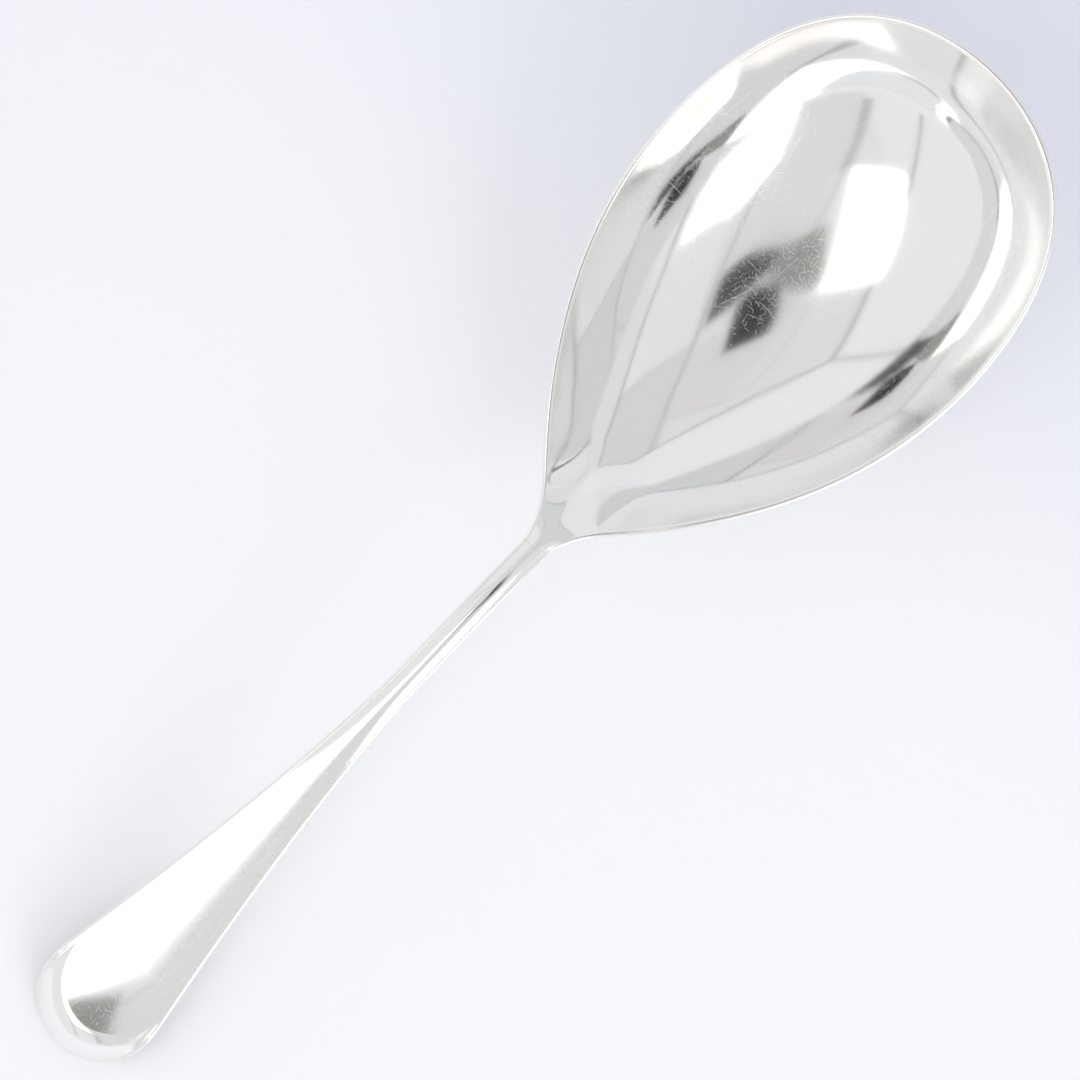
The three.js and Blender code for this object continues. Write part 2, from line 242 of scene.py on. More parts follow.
def wallDirection(x, v, inward):
    # way up through the wall: upright in the stem, leaning with the bent end, square to the face in the bowl
    x, v, inward = np.broadcast_arrays(x, v, inward)
    middle = upperPoint(x, 0 * v)
    slope = (upperPoint(x + slopeStep * inward, 0 * v) - middle)[..., 2] / (slopeStep * inward)
    bent = 1 - smoothStep(bar["leanStart"], bar["leanEnd"], x)
    forged = unit(np.stack([-slope * bent, 0 * x, 1 + 0 * x], -1))
    along = (upperPoint(x + slopeStep * inward, v) - upperPoint(x, v)) * inward[..., None]
    across = upperPoint(x, v + slopeStep) - upperPoint(x, v - slopeStep)
    plain = unit(np.stack([-slope, 0 * x, 1 + 0 * x], -1))
    raised = np.where((halfWidth(x) > slopeStep)[..., None], unit(np.cross(along, across)), plain)
    direction = mix(forged, raised, smoothStep(jointEnd, jointEnd + joint["blendLength"], x)[..., None])
    direction = direction * np.stack([squaring(x), 1 + 0 * x, 1 + 0 * x], -1)
    return unit(direction)


def edgeArc(x, side, upper, lower, direction, inward, steps):
    # half a circle from the upper to the lower edge point, bulging square to the edge and to the wall
    ahead = upperPoint(x + slopeStep * inward, side)[:, 0]
    alongEdge = (ahead - upperPoint(x, side)[:, 0]) * (inward * side)
    out = np.cross(direction, alongEdge)
    out[:, :1] *= squaring(x)
    pole = np.concatenate([-inward, 0 * x, 0 * x], 1)
    out = np.where(halfWidth(x) > slopeStep, out, pole)
    out = unit(out - (out * direction).sum(-1, keepdims=True) * direction)
    middle, radius = (upper + lower) / 2, (upper - lower) / 2
    turn = (np.pi * np.arange(1, steps) / steps)[None, :, None]
    length = np.linalg.norm(radius, axis=-1, keepdims=True)
    return middle[:, None] + radius[:, None] * np.cos(turn) + (out * length)[:, None] * np.sin(turn)


grid = {"handle": 250, "seam": 2, "bowl": 300, "across": 140, "edge": 12, "crowding": 0.25, "edgeFade": 0.9}


def spoonRings():
    # sections round the whole spoon: upper face, one edge, lower face back, other edge; x crowds by a cosine at
    # both ends and v by a cubic at both edges; nearEdge falls from 1 at the edge, exponentially with the way in
    turns = np.linspace(0, 1, grid["handle"] + 1)
    handle = mix(edgeReach, jointStart, 1 - np.cos(np.pi / 2 * turns))
    seam = np.linspace(jointStart, jointEnd, grid["seam"] + 1)[1:]
    turns = np.linspace(0, 1, grid["bowl"] + 1)[1:]
    bowl = mix(jointEnd, tip, (1 - np.cos(np.pi * turns)) / 2)
    x = np.concatenate([handle, seam, bowl])[:, None]
    inward = np.where(x < (jointStart + jointEnd) / 2, 1.0, -1.0)
    w = np.linspace(-1, 1, grid["across"] + 1)[None]
    v = w * (1 + grid["crowding"] - grid["crowding"] * w * w)
    direction = wallDirection(x, v, inward)
    upper = upperPoint(x, v)
    lower = upper - direction * thickness(x, v)[..., None]
    right = edgeArc(x, 1, upper[:, -1], lower[:, -1], direction[:, -1], inward, grid["edge"])
    left = edgeArc(x, -1, upper[:, 0], lower[:, 0], direction[:, 0], inward, grid["edge"])
    rings = np.concatenate([upper, right, lower[:, ::-1], left[:, ::-1]], 1)
    rings[..., 2] = np.maximum(rings[..., 2], 0)
    face = np.exp(-(1 - abs(v)) * halfWidth(x) / grid["edgeFade"])
    arc = np.ones((len(x), grid["edge"] - 1))
    return x[:, 0], rings, np.concatenate([face, arc, face, arc], 1)


def ringNormals(rings):
    # square to the chords between the neighbours on both sides; the closed ends take the next ring's
    along = np.gradient(rings, axis=0)
    around = np.roll(rings, -1, 1) - np.roll(rings, 1, 1)
    normals = unit(np.cross(along, around))
    normals[0], normals[-1] = normals[1], normals[-2]
    return normals


def facesOfRings(ringCount, ringLength, closedStart, closedEnd, edgeSteps):
    # quads between the rings, and strips of triangles from edge to edge over a flat cut end
    i, j = np.meshgrid(np.arange(ringCount - 1), np.arange(ringLength), indexing="ij")
    a, b = i * ringLength + j, i * ringLength + (j + 1) % ringLength
    quads = np.stack([a, a + ringLength, b + ringLength, b], -1).reshape(-1, 4)
    arc = edgeSteps - 1
    j = np.arange(-((arc + 1) // 2), ringLength // 2 - arc - 1 + (arc + 1) // 2)
    strip = np.stack([j, j + 1, ringLength - 2 - arc - j, ringLength - 1 - arc - j], -1) % ringLength
    triangles = np.zeros((0, 3), int)
    if closedStart:
        triangles = np.concatenate([triangles, strip[:, [0, 1, 2]], strip[:, [0, 2, 3]]])
    if closedEnd:
        turned = strip[:, ::-1] + (ringCount - 1) * ringLength
        triangles = np.concatenate([triangles, turned[:, [0, 1, 2]], turned[:, [0, 2, 3]]])
    return quads, triangles


def makeMesh(name, points, normals, nearEdge, quads, triangles):
    # points that coincide are made one, faces that fold flat become triangles or go, and the normals are kept
    rounded = np.round(points * mergeScale).astype(np.int64)
    _, first, back = np.unique(rounded, axis=0, return_index=True, return_inverse=True)
    back = back.reshape(-1)
    quads, triangles = back[quads], back[triangles]
    equal = quads == np.roll(quads, -1, 1)
    folded = equal.sum(1) == 1
    keep = np.ones_like(quads[folded], bool)
    keep[np.arange(len(keep)), equal[folded].argmax(1)] = False
    smooth = np.concatenate([quads[folded][keep].reshape(-1, 3), np.zeros((0, 3), int)])
    quads = quads[~equal.any(1)]
    flat = triangles[(triangles != np.roll(triangles, -1, 1)).all(1)]
    smooth = smooth[(smooth != np.roll(smooth, -1, 1)).all(1)]
    corners = np.concatenate([quads.ravel(), smooth.ravel(), flat.ravel()])
    sizes = np.concatenate([np.full(len(quads), 4), np.full(len(smooth) + len(flat), 3)])
    mesh = bpy.data.meshes.new(name)
    mesh.vertices.add(len(first))
    mesh.vertices.foreach_set("co", (points[first] * mm).astype(np.float32).ravel())
    mesh.loops.add(len(corners))
    mesh.loops.foreach_set("vertex_index", corners.astype(np.int32))
    mesh.polygons.add(len(sizes))
    mesh.polygons.foreach_set("loop_start", (np.cumsum(sizes) - sizes).astype(np.int32))
    mesh.update(calc_edges=True)
    mesh.shade_smooth()
    attribute = mesh.attributes.new("nearEdge", "FLOAT", "POINT")
    attribute.data.foreach_set("value", nearEdge[first].astype(np.float32))
    cornerNormals = normals[first][corners]
    if len(flat):
        p = points[first][flat]
        square = unit(np.cross(p[:, 1] - p[:, 0], p[:, 2] - p[:, 0]))
        cornerNormals[-flat.size:] = np.repeat(square, 3, 0)
    mesh.normals_split_custom_set(cornerNormals)
    return mesh


def addNode(tree, kind, inputs=None, **settings):
    # a node with its settings, and its inputs as values or as links from other nodes' outputs
    node = tree.nodes.new(kind)
    for key, value in settings.items():
        setattr(node, key, value)
    for key, value in (inputs or {}).items():
        if isinstance(value, bpy.types.NodeSocket):
            tree.links.new(value, node.inputs[key])
        else:
            node.inputs[key].default_value = value
    return node


def maths(tree, operation, a, b=0.0, c=0.0):
    # one operation on up to three numbers
    return addNode(tree, "ShaderNodeMath", {0: a, 1: b, 2: c}, operation=operation).outputs[0]


def step(tree, value, a, b):
    # 0 where the value is at a and 1 where it is at b, eased
    inputs = {"Value": value, "From Min": a, "From Max": b}
    return addNode(tree, "ShaderNodeMapRange", inputs, interpolation_type="SMOOTHSTEP").outputs["Result"]


def blendColours(tree, share, first, second):
    # the first colour where the share is 0, the second where it is 1
    node = addNode(tree, "ShaderNodeMix", {"Factor": share}, data_type="RGBA")
    for socket, colour in ((node.inputs[6], first), (node.inputs[7], second)):
        if isinstance(colour, bpy.types.NodeSocket):
            tree.links.new(colour, socket)
        else:
            socket.default_value = (*colour, 1)
    return node.outputs[2]


def vectorMaths(tree, operation, a, b=(0, 0, 0), scale=1.0):
    # one operation on one or two vectors, or a vector times a scale
    node = addNode(tree, "ShaderNodeVectorMath", {0: a, 1: b}, operation=operation)
    if operation == "SCALE":
        node.inputs["Scale"].default_value = scale
    return node.outputs["Vector"]


# Each noise's detail and seed.
noises = {"tone": (4.0, 1.3), "wave": (1.0, 3.1), "haze": (4.0, 5.9), "grain": (3.0, 7.7)}
finerShare = 0.55


def noise(tree, point, size, detail, seed):
    # smooth noise between 0 and 1 whose swells are about size millimetres wide; each finer one has finerShare of
    # the strength of the one before
    inputs = {"Vector": point, "W": seed, "Scale": 1 / size, "Detail": detail, "Roughness": finerShare}
    return addNode(tree, "ShaderNodeTexNoise", inputs, noise_dimensions="4D").outputs["Fac"]


wear = {"seedLean": 2.7, "fullReach": 0.5, "faintest": 0.3, "placeFull": 0.5, "placeEnd": 1.5}


def scratches(tree, plan, layer, share):
    # one straight scratch in some cells of a random net, seen from above: the cell's colour gives its turn, its
    # strength and whether it is there; 1 on its middle line, falling to 0 at its sides and towards its ends
    point = vectorMaths(tree, "SCALE", plan, scale=1 / layer["cell"])
    point = vectorMaths(tree, "ADD", point, (layer["seed"], wear["seedLean"] * layer["seed"], 0))
    cells = addNode(tree, "ShaderNodeTexVoronoi", {"Vector": point, "Scale": 1.0}, voronoi_dimensions="2D")
    away = vectorMaths(tree, "SUBTRACT", point, cells.outputs["Position"])
    away = addNode(tree, "ShaderNodeSeparateXYZ", {0: away})
    chance = addNode(tree, "ShaderNodeSeparateColor", {0: cells.outputs["Color"]}).outputs
    turn = maths(tree, "MULTIPLY_ADD", chance[0], layer["turns"], layer["lean"])
    c, s = maths(tree, "COSINE", turn), maths(tree, "SINE", turn)
    x, y = away.outputs[0], away.outputs[1]
    across = maths(tree, "SUBTRACT", maths(tree, "MULTIPLY", x, s), maths(tree, "MULTIPLY", y, c))
    along = maths(tree, "ADD", maths(tree, "MULTIPLY", x, c), maths(tree, "MULTIPLY", y, s))
    line = step(tree, maths(tree, "ABSOLUTE", across), layer["width"] / layer["cell"], 0.0)
    ends = step(tree, maths(tree, "ABSOLUTE", along), layer["reach"], wear["fullReach"] * layer["reach"])
    there = maths(tree, "LESS_THAN", chance[2], share)
    strength = maths(tree, "MULTIPLY_ADD", chance[1], 1 - wear["faintest"], wear["faintest"])
    shape = maths(tree, "MULTIPLY", line, ends)
    return maths(tree, "MULTIPLY", shape, maths(tree, "MULTIPLY", there, strength))


def wornPlaces(tree, plan, places):
    # 1 in the inner half of each ellipse, fading out to half as far again as it; the largest of them counts
    most = 0.0
    for centre, reach in places:
        point = vectorMaths(tree, "SUBTRACT", plan, (*centre, 0))
        point = vectorMaths(tree, "DIVIDE", point, (*reach, 1))
        length = addNode(tree, "ShaderNodeVectorMath", {0: point}, operation="LENGTH").outputs["Value"]
        most = maths(tree, "MAXIMUM", most, step(tree, length, wear["placeEnd"], wear["placeFull"]))
    return most


def makeSilver(name, look):
    # a mirror whose tone, haze and height vary with noise, with layers of scratches and a rubbed, duller edge
    # that is also darkened there as painted shade; level faces are made darker, warmer and hazier than steep
    # ones, by a smooth step of how upright their normals are
    material = bpy.data.materials.new(name)
    material.use_nodes = True
    tree = material.node_tree
    shader = tree.nodes["Principled BSDF"]
    place = addNode(tree, "ShaderNodeTexCoord").outputs["Object"]
    point = vectorMaths(tree, "SCALE", place, scale=1 / mm)
    bend = addNode(tree, "ShaderNodeTexNoise", {"Vector": point, "Scale": 1 / look["bendSize"]})
    bend = vectorMaths(tree, "SUBTRACT", bend.outputs["Color"], (0.5, 0.5, 0.5))
    bent = vectorMaths(tree, "MULTIPLY_ADD", bend, (look["bend"],) * 3)
    tree.links.new(point, bent.node.inputs[2])
    plan = vectorMaths(tree, "MULTIPLY", bent, (1, 1, 0))
    worn = wornPlaces(tree, plan, look["worn"])
    edge = addNode(tree, "ShaderNodeAttribute", attribute_name="nearEdge").outputs["Fac"]
    facing = addNode(tree, "ShaderNodeNewGeometry").outputs["Normal"]
    upright = addNode(tree, "ShaderNodeSeparateXYZ", {0: facing})
    level = step(tree, maths(tree, "ABSOLUTE", upright.outputs[2]), look["levelFrom"], look["levelTo"])
    marks, height = 0.0, 0.0
    for layer in look["layers"]:
        share = maths(tree, "MULTIPLY_ADD", worn, layer["wornShare"] - layer["share"], layer["share"])
        mark = scratches(tree, plan, layer, share)
        marks = maths(tree, "MAXIMUM", marks, mark)
        height = maths(tree, "MULTIPLY_ADD", mark, -layer["depth"], height)
    wave = noise(tree, point, look["waveSize"], *noises["wave"])
    height = maths(tree, "MULTIPLY_ADD", wave, look["wave"], height)
    grain = noise(tree, point, look["grainSize"], *noises["grain"])
    height = maths(tree, "MULTIPLY_ADD", grain, look["grainHeight"], height)
    bump = addNode(tree, "ShaderNodeBump", {"Height": maths(tree, "MULTIPLY", height, mm), "Distance": 1.0})
    tree.links.new(bump.outputs[0], shader.inputs["Normal"])
    tone = step(tree, noise(tree, point, look["toneSize"], *noises["tone"]), *look["toneLimits"])
    # painted shade: the rounded edge is pulled towards the darker, warmer colour, standing for the shadowed
    # table that it mirrors
    tone = maths(tree, "MULTIPLY_ADD", tone, look["toneShare"], maths(tree, "MULTIPLY", edge, look["edgePaintedShade"]))
    # faces that look up are made darker and warmer, by a smooth step of how upright their normals are
    tone = maths(tree, "MINIMUM", maths(tree, "MULTIPLY_ADD", level, look["levelDarkening"], tone), 1.0)
    tree.links.new(blendColours(tree, tone, look["clean"], look["tonedAndShaded"]), shader.inputs["Base Color"])
    haze = step(tree, noise(tree, point, look["hazeSize"], *noises["haze"]), *look["hazeLimits"])
    rough = maths(tree, "MULTIPLY_ADD", haze, look["haze"], look["roughness"])
    rough = maths(tree, "MULTIPLY_ADD", grain, look["grain"], rough)
    rough = maths(tree, "MULTIPLY_ADD", worn, look["wornHaze"], rough)
    rough = maths(tree, "MULTIPLY_ADD", level, look["levelHaze"], rough)
    rough = maths(tree, "MULTIPLY_ADD", edge, look["edgeWear"], rough)
    rough = maths(tree, "MULTIPLY_ADD", marks, look["scratchRoughness"], rough)
    tree.links.new(maths(tree, "MINIMUM", rough, look["roughest"]), shader.inputs["Roughness"])
    shader.inputs["Metallic"].default_value = 1
    return material


# Scratch layers: cell, width and depth in millimetres, reach in cells; lean is the least turn, in radians, and
# turns how much more it can be. share is how many cells hold a scratch, wornShare how many where worn most.
hairScratches = {"cell": 0.8, "width": 0.045, "reach": 0.5, "depth": 0.0012, "turns": 3.14, "lean": 0.0,
                 "share": 0.08, "wornShare": 1.0, "seed": 3.0}
fineScratches = {"cell": 1.7, "width": 0.04, "reach": 0.55, "depth": 0.0012, "turns": 3.14, "lean": 0.0,
                 "share": 0.16, "wornShare": 1.0, "seed": 7.0}
crossScratches = {"cell": 3.6, "width": 0.05, "reach": 0.55, "depth": 0.0015, "turns": 1.5, "lean": 1.1,
                  "share": 0.2, "wornShare": 0.95, "seed": 11.0}
longScratches = {"cell": 7.5, "width": 0.05, "reach": 0.6, "depth": 0.0014, "turns": 1.3, "lean": -0.4,
                 "share": 0.45, "wornShare": 0.85, "seed": 23.0}
lengthwiseScratches = {"cell": 6.0, "width": 0.06, "reach": 0.5, "depth": 0.001, "turns": 0.35, "lean": -0.17,
                       "share": 0.3, "wornShare": 0.7, "seed": 37.0}
# Sizes of the silver are in millimetres; worn gives the middle and the half axes of each ellipse worn most.
bowlSilver = {
    "clean": (0.958, 0.956, 0.953), "tonedAndShaded": (0.93, 0.917, 0.89),
    "toneSize": 24.0, "toneLimits": (0.35, 0.75), "toneShare": 0.55,
    "roughness": 0.025, "roughest": 0.6, "haze": 0.03, "hazeSize": 8.0, "hazeLimits": (0.3, 0.8),
    "grain": 0.02, "grainSize": 0.5, "grainHeight": 0.0002,
    "wave": 0.012, "waveSize": 11.0, "bend": 1.1, "bendSize": 11.0, "wornHaze": 0.012, "edgeWear": 0.1,
    "edgePaintedShade": 0.6, "levelFrom": 0.66, "levelTo": 0.78, "levelDarkening": 0.7, "levelHaze": 0.07,
    "scratchRoughness": 0.4, "layers": [hairScratches, fineScratches, crossScratches, longScratches],
    "worn": [
        ((68.0, 2.5), (10.0, 8.0)), ((75.0, 14.0), (6.0, 8.0)),
        ((68.0, 30.0), (15.0, 4.5)), ((68.0, -30.0), (15.0, 4.5)),
    ],
}
handleSilver = {
    **bowlSilver, "clean": (0.953, 0.948, 0.942), "tonedAndShaded": (0.92, 0.903, 0.872),
    "wave": 0.006, "waveSize": 9.0, "bend": 0.8,
    "layers": [
        {**hairScratches, "share": 0.15}, fineScratches, {**crossScratches, "seed": 53.0}, lengthwiseScratches],
    "worn": [((-92.0, -5.0), (20.0, 4.0)), ((-66.0, -3.0), (16.0, 2.5))],
}
dropSilver = {
    **handleSilver, "roughness": 0.08, "haze": 0.09, "hazeSize": 5.0, "grain": 0.05, "toneShare": 0.8,
    "layers": [{**fineScratches, "share": 0.5}, {**lengthwiseScratches, "share": 0.6}], "worn": [],
}
solder = {
    **handleSilver, "clean": (0.935, 0.915, 0.87), "tonedAndShaded": (0.87, 0.84, 0.775),
    "toneSize": 3.0, "toneShare": 0.9,
    "roughness": 0.16, "haze": 0.12, "hazeSize": 1.5, "grain": 0.1, "grainSize": 0.2, "grainHeight": 0.001,
    "layers": [{**fineScratches, "cell": 1.0, "share": 0.7}], "worn": [],
}
materials = {
    "bowl": makeSilver("raisedSilver", bowlSilver), "handle": makeSilver("forgedSilver", handleSilver),
    "drop": makeSilver("dropSilver", dropSilver), "solder": makeSilver("hardSolder", solder),
}
print("silver and solder made:", len(materials), "materials")


def makePiece(name, mesh, material, slot, *nodes):
    # an object that rides on the spoon's one body and takes the place of its solids
    piece = bpy.data.objects.new(name, mesh)
    bpy.context.scene.collection.objects.link(piece)
    mesh.materials.append(material)
    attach(piece, "root")
    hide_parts(*nodes)
    print("piece made:", name)


stations, rings, nearEdge = spoonRings()
xShift = (cadLow.x + cadHigh.x) / 2 / mm - (rings[..., 0].min() + rings[..., 0].max()) / 2
rings[..., 0] += xShift
normals = ringNormals(rings)
print("spoon's surface worked out:", rings.shape[0], "sections of", rings.shape[1], "points")


def spoonMesh(name, first, last, cutStart, cutEnd):
    # the sections from first to last as one piece, closed flat where it is cut
    part = rings[first:last + 1]
    quads, triangles = facesOfRings(len(part), part.shape[1], cutStart, cutEnd, grid["edge"])
    square = normals[first:last + 1].reshape(-1, 3)
    return makeMesh(name, part.reshape(-1, 3), square, nearEdge[first:last + 1].ravel(), quads, triangles)


drop = {
    "beforeHeel": 5.5, "length": 29.0, "rootInset": 1.1, "tongueWidth": 9.0, "thickness": 1.9, "edge": 0.7,
    "roundShare": 0.3, "under": 0.3, "far": 0.6, "fade": 0.07, "sidePower": 8, "along": 90, "across": 40,
}
bed = {"margin": 0.35, "into": -0.05, "far": 0.42, "tonguePower": 6}


def dropHalfWidth(t):
    # widens from root to tongue by a smooth step, then closes like an ellipse
    root = outline["stemWidth"] - 2 * drop["rootInset"]
    spread = mix(root, drop["tongueWidth"], smoothStep(0, 1 - drop["roundShare"], t)) / 2
    past = np.maximum(t - 1 + drop["roundShare"], 0) / drop["roundShare"]
    return spread * np.sqrt(np.maximum(1 - past * past, 0))


def belowUnderside(x, y, distance):
    # a plan point carried down through the wall and a distance beyond it
    v = y / halfWidth(x)
    direction = wallDirection(x, v, 1.0)
    return upperPoint(x, v) - direction * (thickness(x, v) + distance)[..., None]


def lensMesh(name, start, length, spread, near, far):
    # a pad under the spoon: two sheets over one plan outline that meet all round its edge, along quarters of
    # circles at its ends and a high power of the way out at its sides; its stations crowd by a sine
    t = np.sin(np.pi / 2 * np.linspace(0, 1, drop["along"] + 1))[:, None]
    q = np.sin(np.pi / 2 * np.linspace(-1, 1, drop["across"] + 1))[None]
    x = start + length * t + 0 * q
    y = q * spread(t)
    fade = np.clip(np.minimum(t, 1 - t) / drop["fade"], 0, 1)
    closing = np.sqrt(fade * (2 - fade)) * np.sqrt(np.maximum(1 - q ** drop["sidePower"], 0))
    lower = belowUnderside(x, y, near + (far(t, q) - near) * closing)
    upper = belowUnderside(x, y, near + 0 * x)
    ring = np.concatenate([upper, lower[:, ::-1]], 1)
    ring[..., 0] += xShift
    quads, _ = facesOfRings(len(ring), ring.shape[1], False, False, 1)
    worn = np.concatenate([1 - closing + 0 * x, 1 - closing + 0 * x], 1).ravel()
    square = ringNormals(ring).reshape(-1, 3)
    return makeMesh(name, ring.reshape(-1, 3), square, worn, quads, np.zeros((0, 3), int))


def dropFar(t, q):
    # thickest in the middle: a squared sine along it, and a parabola across
    ridge = mix(drop["edge"], drop["thickness"], np.sin(np.pi * t) ** 2)
    return drop["far"] + mix(ridge, drop["edge"], q * q)


def bedHalfWidth(t):
    # a margin beyond the drop, which a high power of the way along closes at the tongue
    return dropHalfWidth(t) + bed["margin"] * np.sqrt(np.maximum(1 - t ** bed["tonguePower"], 0))


def bedFar(t, q):
    # the same everywhere
    return bed["far"] + 0 * t * q


seamFirst = int(np.argmin(abs(stations - jointStart)))
seamLast = int(np.argmin(abs(stations - jointEnd)))
last = len(stations) - 1

bowlMesh = spoonMesh("spoon_bowl", seamLast, last, True, False)
makePiece("spoon_bowl", bowlMesh, materials["bowl"], "polished_silver", "bowl")
handleMesh = spoonMesh("spoon_handle", 0, seamFirst, False, True)
makePiece("spoon_handle", handleMesh, materials["handle"], "forged_silver", "handle")
seamMesh = spoonMesh("neck_seam", seamFirst, seamLast, True, True)
makePiece("neck_seam", seamMesh, materials["solder"], "silver_solder", "neck_solder")
dropStart = heel - drop["beforeHeel"]
dropMesh = lensMesh("back_drop", dropStart, drop["length"], dropHalfWidth, drop["under"], dropFar)
makePiece("back_drop", dropMesh, materials["drop"], "forged_silver", "heel_drop")
bedStart, bedLength = dropStart - bed["margin"], drop["length"] + 2 * bed["margin"]
bedMesh = lensMesh("drop_bed", bedStart, bedLength, bedHalfWidth, bed["into"], bedFar)
makePiece("drop_bed", bedMesh, materials["solder"], "silver_solder", "drop_solder")

view = {
    "lens": 500.0, "sensor": 36.0, "frameWidth": 0.1915, "turn": 46.09,
    "aimX": 0.00449, "aimY": 0.00025, "plane": 0.015, "farthest": 50.0,
}


def makeCamera():
    # straight overhead, as far off as its lens needs for the frame's width, turned so that the spoon rises to
    # the right
    data = bpy.data.cameras.new("camera")
    data.lens, data.sensor_width = view["lens"], view["sensor"]
    camera = bpy.data.objects.new("camera", data)
    bpy.context.scene.collection.objects.link(camera)
    distance = view["frameWidth"] * view["lens"] / view["sensor"]
    camera.location = (view["aimX"], view["aimY"], view["plane"] + distance)
    camera.rotation_euler = (0, 0, -math.radians(view["turn"]))
    data.clip_end = view["farthest"]
    bpy.context.scene.camera = camera


makeCamera()


# The tent stands metres away. A corner (u, v) of it lies u to the right and v up in the picture for each 1 of
# height over the table. Lamps, openings and seams hang nearer than the panels, so that they cover them.
tent = {
    "wallLeft": (0.85, 0.865, 0.895), "wallRight": (0.83, 0.833, 0.88), "roof": (0.79, 0.81, 0.835),
    "leftFrom": -0.6, "rightFrom": 0.8, "softness": 0.02, "seamWidth": 0.0062, "seamTint": (1.0, 1.02, 1.06),
    "panelDistance": 7.0, "seamDistance": 5.2, "lampDistance": 4.9, "openingDistance": 4.2,
    "backdrop": (0.93, 0.935, 0.96),
}
roofCorners = [
    (1.75, 0.5), (0.34, 0.97), (-0.61, 0.70), (-0.60, 0.0),
    (-1.0, -0.95), (-3.55, -5.05), (8.0, -8.7), (2.0, -1.0),
]
tentPanels = [
    ((0.775, 0.775, 0.805), [(1.64, 0.06), (2.5, 1.5), (7.0, 4.2), (7.0, -3.0), (2.6, -1.3), (1.66, -0.4)]),
    ((0.68, 0.695, 0.72), [(1.62, 0.04), (2.4, 1.5), (0.34, 0.97), (0.43, 0.04)]),
    ((0.75, 0.745, 0.77), [
        (0.42, 0.04), (0.42, -0.68), (1.66, -5.9), (-1.19, -6.49), (-0.12, -0.5), (-0.09, -0.31)]),
    ((0.73, 0.72, 0.75), [(0.36, 0.55), (0.42, 0.04), (-0.2, 0.02), (-0.14, 0.48), (0.0, 0.62)]),
    ((0.76, 0.77, 0.80), [(0.34, 0.97), (0.36, 0.56), (0.0, 0.63), (-0.61, 0.69)]),
    ((0.77, 0.77, 0.80), [(0.0, 0.63), (-0.14, 0.5), (-0.2, 0.0), (-0.55, 0.1), (-0.61, 0.69)]),
]
tentLamps = [
    ((3.4, 3.35, 3.3), [
        (0.52, -0.82), (0.62, -0.77), (1.60, -1.08), (5.5, -8.0), (2.9, -10.7), (0.46, -1.1)]),
    ((1.7, 1.7, 1.7), [(-0.21, 0.01), (-0.26, -0.69), (-0.77, -0.67), (-0.60, 0.11)]),
]
tentOpenings = [
    ((0.05, 0.052, 0.056), [
        (0.36, -0.04), (0.37, -0.26), (0.22, -0.29), (0.01, -0.24), (0.05, -0.16), (0.21, -0.07)]),
    ((0.022, 0.022, 0.025), [
        (0.15, 0.17), (0.17, -0.06), (0.10, -0.11), (-0.03, -0.08), (-0.06, 0.02), (-0.06, 0.15)]),
    ((0.30, 0.305, 0.295), [
        (0.01, -0.24), (-0.16, -0.28), (-0.21, -0.06), (-0.18, 0.0), (-0.07, -0.05), (0.05, -0.14)]),
]
# Each seam: its width as a multiple of seamWidth, its shade, and the corners that it runs through.
tentSeams = [
    (1.6, 0.26, [(2.6, 1.7), (1.62, 0.3), (1.85, -0.93), (3.2, -2.9), (8.0, -8.7)]),
    (1.2, 0.26, [(2.6, 1.7), (0.34, 0.97), (-0.23, 0.69), (-0.61, 0.69)]),
    (1.5, 0.24, [(-0.61, 0.69), (-0.52, 0.15), (-0.66, -0.31), (-0.87, -0.70), (-1.33, -1.47), (-3.55, -5.05)]),
    (1.2, 0.26, [(-0.61, 0.69), (-1.33, 1.24), (-4.77, 3.84)]),
    (1.2, 0.28, [(0.34, 0.97), (0.44, 0.35), (0.41, 0.0), (0.40, -0.46), (0.54, -1.37), (1.66, -5.9)]),
    (0.7, 0.42, [(1.62, 0.05), (0.43, 0.04)]),
    (0.6, 0.45, [(0.35, 0.55), (0.0, 0.63), (-0.15, 0.48), (-0.21, 0.01)]),
    (1.2, 0.42, [(-0.11, -0.28), (-0.15, -0.42), (-0.19, -0.58), (-0.27, -1.13), (-0.72, -4.0)]),
    (5.0, 0.52, [(-0.2, -0.64), (-0.32, -1.2), (-0.92, -4.3)]),
    (0.7, 0.42, [(-0.24, -0.72), (-0.5, -0.71)]),
]


def skyDirection(corners):
    # corners of the tent as unit vectors, turned from the picture's axes into the spoon's
    turn = math.radians(view["turn"])
    c, s = math.cos(turn), math.sin(turn)
    u, v = np.array(corners).T
    return unit(np.stack([c * u + s * v, c * v - s * u, 0 * u + 1], -1))


def seamCorners(line, width):
    # a strip along the line of directions, widened to both sides square to it
    middle = skyDirection(line)
    along = np.gradient(middle, axis=0)
    aside = unit(np.cross(along, middle)) * tent["seamWidth"] * width
    return middle + aside, middle - aside


